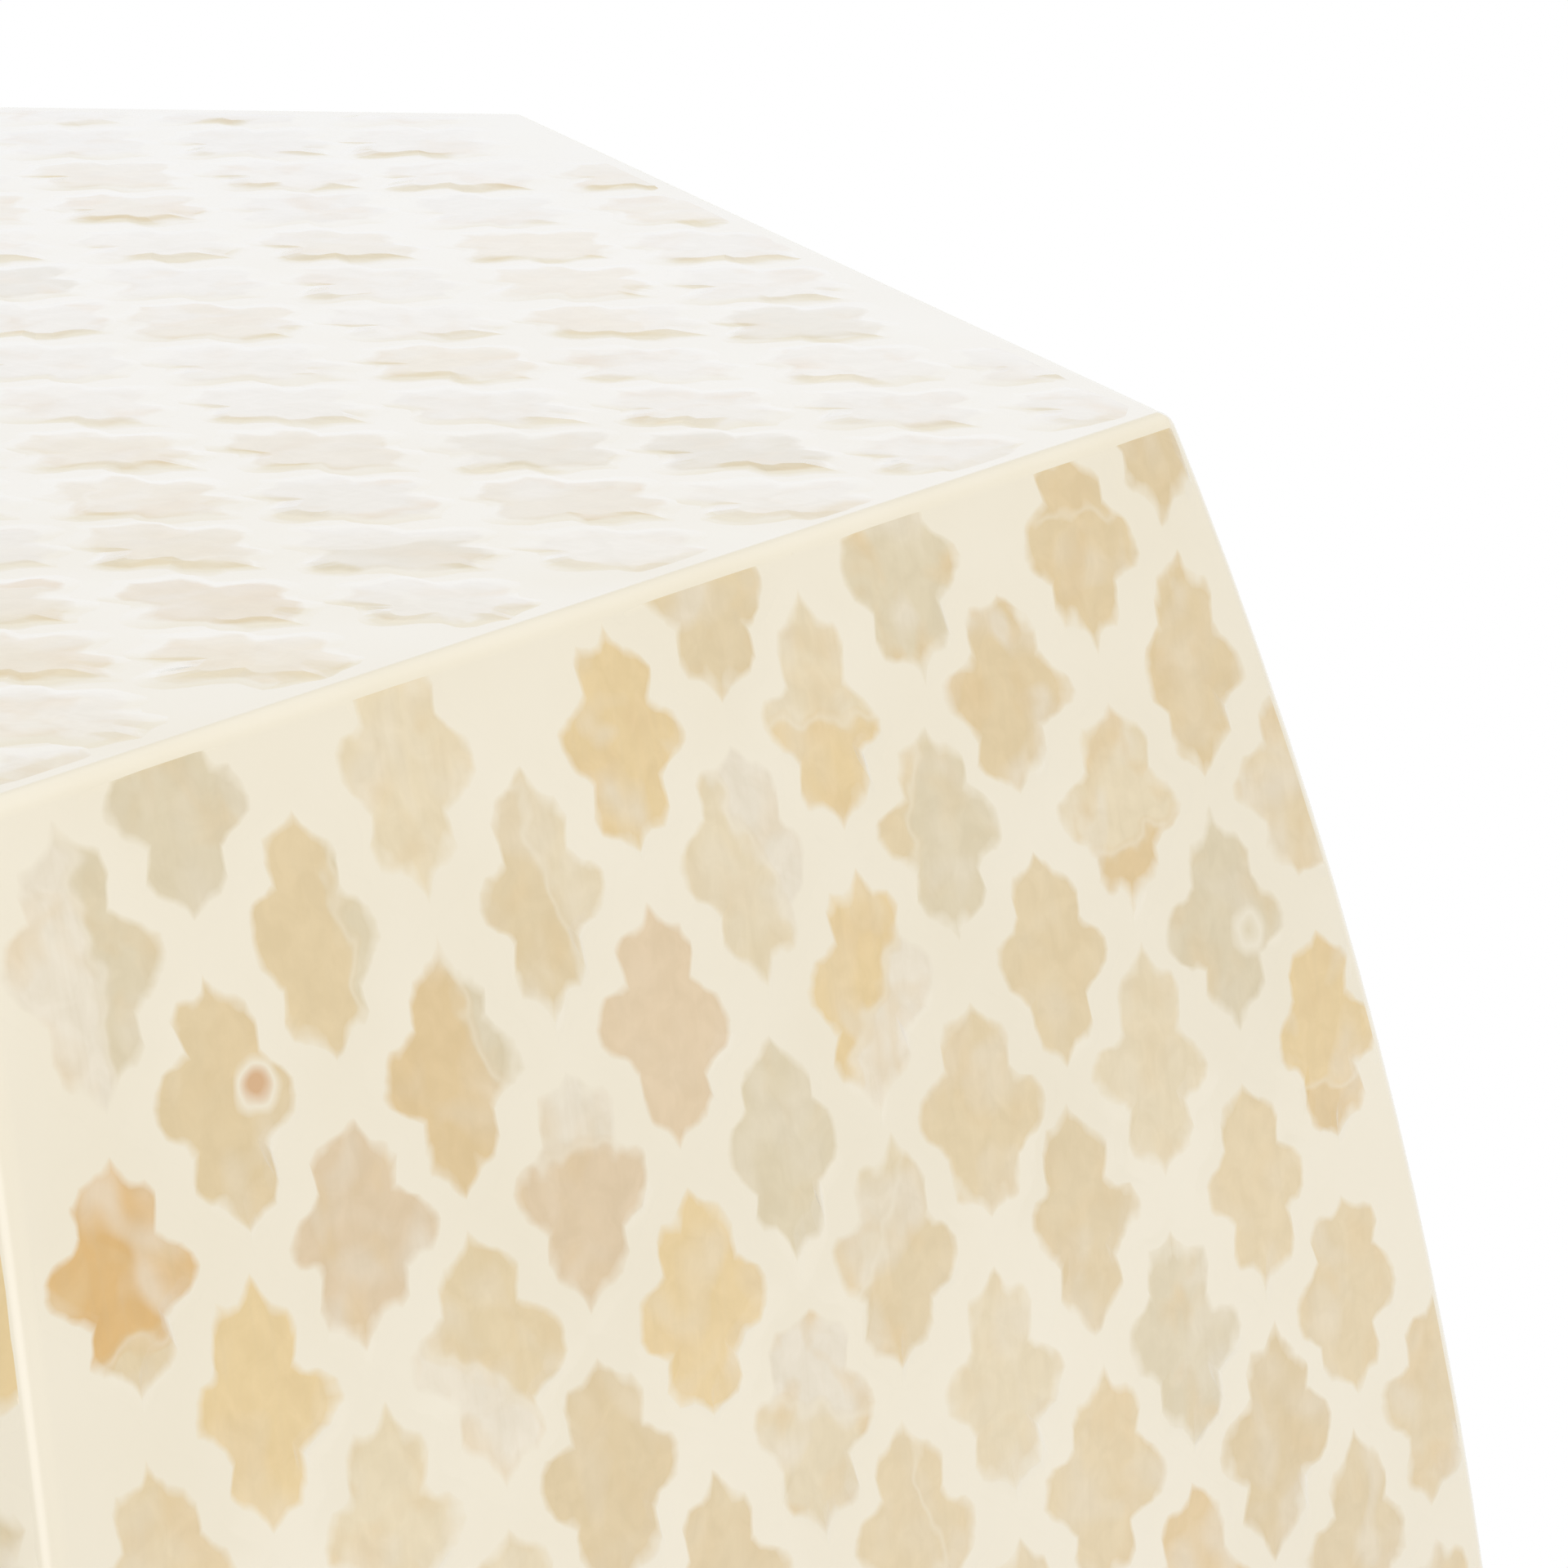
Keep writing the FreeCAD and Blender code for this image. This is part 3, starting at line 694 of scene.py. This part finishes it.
def cut_to_field(tile, planes, under, dip):
    """Saw a tile off along planes, each a point and the direction outwards; say whether enough is left."""
    for point, away in planes:
        down = tile.data.attributes["down"].data
        distances = [(vertex.co - point).dot(away) for vertex in tile.data.vertices]
        if min(distance for distance, way in zip(distances, down) if way.value < BONE_END) > -SLIVER:
            bpy.data.objects.remove(tile)
            return False
        if max(distances) > 0:
            cut_straight(tile, point, away, under, dip)
    return True


def join_tiles(tiles, name):
    """One field of all its tiles, smooth over their worn edges."""
    deselect()
    for tile in tiles:
        tile.select_set(True)
    bpy.context.view_layer.objects.active = tiles[0]
    bpy.ops.object.join()
    field = named(name)
    smooth(field)
    return field


def make_side_tiles(index, pattern):
    """The field of tiles of one side, each laid flat, bent along the bow, turned to its side and cut."""
    dice = random.Random(SIDE_SEED + index)
    facing = FACINGS[index - 1]

    def bend(x, y, rise):
        angle = EDGE_ANGLE + y / ARC_RADIUS
        radius = ARC_RADIUS + (rise - 1) * SIDE_RISE
        out = ARC_CENTRE + radius * np.cos(angle)
        return (
            out * math.cos(facing) - x * math.sin(facing),
            out * math.sin(facing) + x * math.cos(facing),
            MIDDLE + radius * np.sin(angle),
        )

    under = -Vector((math.cos(facing), math.sin(facing), 0))
    planes = [(UP * (TABLE_TOP - RIM_BORDER), UP), (UP * (BASE + RIM_BORDER), -UP)]
    for way in (-1, 1):
        angle = facing + way * (HALF_SIDE_ANGLE + math.pi / 2)
        away = Vector((math.cos(angle), math.sin(angle), 0))
        planes.append((-away * ARRIS_BORDER, away))
    tiles = []
    for half_row, place, shift in lattice(SIDE_PITCH, TABLE_TOP):
        centre = SIDE_START + Matrix.Rotation(SIDE_TURN, 2) @ shift
        angle = EDGE_ANGLE + centre.y / ARC_RADIUS
        half_side = (ARC_CENTRE + ARC_RADIUS * math.cos(angle)) * math.tan(HALF_SIDE_ANGLE)
        if abs(angle) > EDGE_ANGLE + HALF_LENGTH / ARC_RADIUS or abs(centre.x) > half_side + HALF_WIDTH:
            continue
        look = choose_look(dice, SIDE_WEIGHTS)
        if index == 1:
            look = NOTABLE_TILES.get((half_row, place), look)
        tile = lay_tile(pattern, centre, SIDE_TURN, look, dice)
        move_points(tile.data, bend(*points_of(tile.data)))
        if cut_to_field(tile, planes, under, SIDE_DIP):
            tiles.append(tile)
    return join_tiles(tiles, f"bone_tiles_side_{index}")


def make_top_tiles(pattern):
    """The field of tiles of the top, cut straight along its six edges."""
    dice = random.Random(TOP_SEED)
    planes = []
    for facing in FACINGS:
        away = Vector((math.cos(facing), math.sin(facing), 0))
        planes.append((away * (TOP_APOTHEM - TOP_BORDER), away))
    tiles = []
    for _, _, shift in lattice(TOP_PITCH, 2 * TOP_CORNER):
        centre = TOP_START + Matrix.Rotation(TOP_TURN, 2) @ shift
        if centre.length > TOP_CORNER + HALF_LENGTH:
            continue
        tile = lay_tile(pattern, centre, TOP_TURN, choose_look(dice, TOP_WEIGHTS), dice)
        x, y, rise = points_of(tile.data)
        move_points(tile.data, (x, y, TABLE_TOP + (rise - 1) * TOP_RISE))
        if cut_to_field(tile, planes, -UP, TOP_DIP):
            tiles.append(tile)
    return join_tiles(tiles, "bone_tiles_top")


def add_camera():
    """The camera stands in front of the table, a little above the top, and looks past its right corner
    with a long lens."""
    place = Vector((0.2898, -0.9418, 0.7174))
    heading = Vector((-0.121, 0.9927, 0)).normalized()
    down_angle = math.radians(15.74)
    roll = math.radians(-0.54)
    photo_pixels = 1920
    focal_pixels = 9389
    sensor_width = 36
    ahead = heading * math.cos(down_angle) - UP * math.sin(down_angle)
    right = ahead.cross(UP).normalized()
    up = right.cross(ahead)
    turned_right = right * math.cos(roll) + up * math.sin(roll)
    turned_up = up * math.cos(roll) - right * math.sin(roll)
    bpy.ops.object.camera_add()
    camera = bpy.context.active_object
    axes = Matrix((turned_right, turned_up, -ahead)).transposed()
    camera.matrix_world = Matrix.Translation(place) @ axes.to_4x4()
    camera.data.sensor_width = sensor_width
    camera.data.lens = focal_pixels / photo_pixels * sensor_width
    bpy.context.scene.camera = camera


def add_floor():
    """A pale floor, just clear of the glides, that keeps the shadow near the table and runs into white
    further off."""
    size = 14
    gap = 0.2 * MM
    white_from = 0.38
    white_to = 0.75
    deselect()
    bpy.ops.mesh.primitive_plane_add(size=size, location=(0, 0, -gap))
    floor = named("floor")
    material, tree = new_material("pale_floor")
    distance = add_node(tree, "VectorMath", {0: place_on_piece(tree)}, operation="LENGTH")
    far = ramp(tree, distance, white_from, white_to)
    path = add_node(tree, "LightPath")
    seen = add_node(tree, "Math", {
        0: path.outputs["Is Camera Ray"], 1: path.outputs["Is Glossy Ray"]}, operation="MAXIMUM")
    seen = add_node(tree, "Math", {
        0: seen, 1: path.outputs["Is Transmission Ray"]}, operation="MAXIMUM")
    share = add_node(tree, "Math", {0: seen, 1: far}, operation="MULTIPLY")
    white = add_node(tree, "Emission", {"Color": (1, 1, 1, 1), "Strength": 1.0})
    ground = add_node(tree, "BsdfPrincipled", {"Base Color": linear("#F4F3F1"), "Roughness": 0.9})
    mixed = add_node(tree, "MixShader", {0: share, 1: ground, 2: white})
    add_node(tree, "OutputMaterial", {"Surface": mixed})
    floor.data.materials.append(material)


def add_room():
    """The pale studio that the polish mirrors: a bright, faintly cool sweep behind the table, a warm dim
    band above it, a white ceiling, and a soft box beside the camera for the arrises."""
    world = bpy.data.worlds.new("studio")
    bpy.context.scene.world = world
    world.use_nodes = True
    tree = world.node_tree
    tree.nodes.clear()
    path = add_node(tree, "LightPath")
    way = add_node(tree, "TexCoord").outputs["Generated"]
    height = add_node(tree, "SeparateXYZ", {"Vector": way}).outputs["Z"]

    def towards(aim, start, end):
        """The share of a patch of the room around an aim, from none at a start to all at an end."""
        near = add_node(tree, "VectorMath", {0: way, 1: aim}, operation="DOT_PRODUCT").outputs["Value"]
        return ramp(tree, near, start, end, interpolation_type="SMOOTHSTEP")

    behind = towards((-0.12, 0.98, 0.16), 0.45, 0.85)
    beside_camera = towards((0.37, -0.9, 0.22), 0.945, 1.0)
    room = blend(tree, behind, (0.78, 0.78, 0.77, 1), (0.94, 0.94, 0.93, 1))
    sweep = blend(tree, behind, (0.8, 0.8, 0.79, 1), (1.0, 1.035, 1.115, 1))
    warm_band = (0.82, 0.8, 0.73, 1)
    ceiling = (1.0, 1.0, 0.97, 1)
    soft_box = (2.1, 2.1, 2.2, 1)
    white = (1, 1, 1, 1)
    for start, end, colour in ((0.06, 0.14, sweep), (0.235, 0.33, warm_band), (0.5, 0.66, ceiling)):
        room = blend(tree, ramp(tree, height, start, end), room, colour)
    room = blend(tree, beside_camera, room, soft_box)
    # Matt light from all around is a little brighter from above, and the camera sees plain white.
    fill = ramp(tree, height, low=0.59, high=0.828)
    mirrored = add_node(tree, "Math", {
        0: path.outputs["Is Glossy Ray"], 1: path.outputs["Is Transmission Ray"]}, operation="MAXIMUM")
    level = blend(tree, mirrored, fill, room)
    level = blend(tree, path.outputs["Is Camera Ray"], level, white)
    background = add_node(tree, "Background", {"Color": level, "Strength": 1.0})
    add_node(tree, "OutputWorld", {"Surface": background})


def add_lamp():
    """One large soft lamp, to the right of the camera and above it, aimed at the middle of the table."""
    bpy.ops.object.light_add(type="AREA", location=(1.2, -1.5, 2.3))
    lamp = bpy.context.active_object
    lamp.data.shape = "RECTANGLE"
    lamp.data.size = 2.4
    lamp.data.size_y = 2.2
    lamp.data.energy = 24
    aim = Vector((0, 0, 0.3)) - lamp.location
    lamp.rotation_euler = aim.to_track_quat("-Z", "Y").to_euler()


bpy.context.scene.view_settings.view_transform = "Standard"
# The wobble of the hand-cut outlines is the same in every run.
noise.seed_set(WOBBLE_SEED)
resin = polished_resin()
bone = polished_bone()
pattern = make_tile_pattern(bone, sawn_bone())
ground = make_resin_ground(resin)
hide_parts("top_resin", *[f"side_resin_{index}" for index in range(1, SIDES + 1)])
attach(ground, "root")
for index in range(1, SIDES + 1):
    side = make_side_tiles(index, pattern)
    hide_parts(f"side_bone_tiles_{index}")
    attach(side, "root")
top = make_top_tiles(pattern)
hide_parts("top_bone_tiles")
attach(top, "root")
bpy.data.objects.remove(pattern)
dress_carcass()

add_camera()
add_floor()
add_room()
add_lamp()
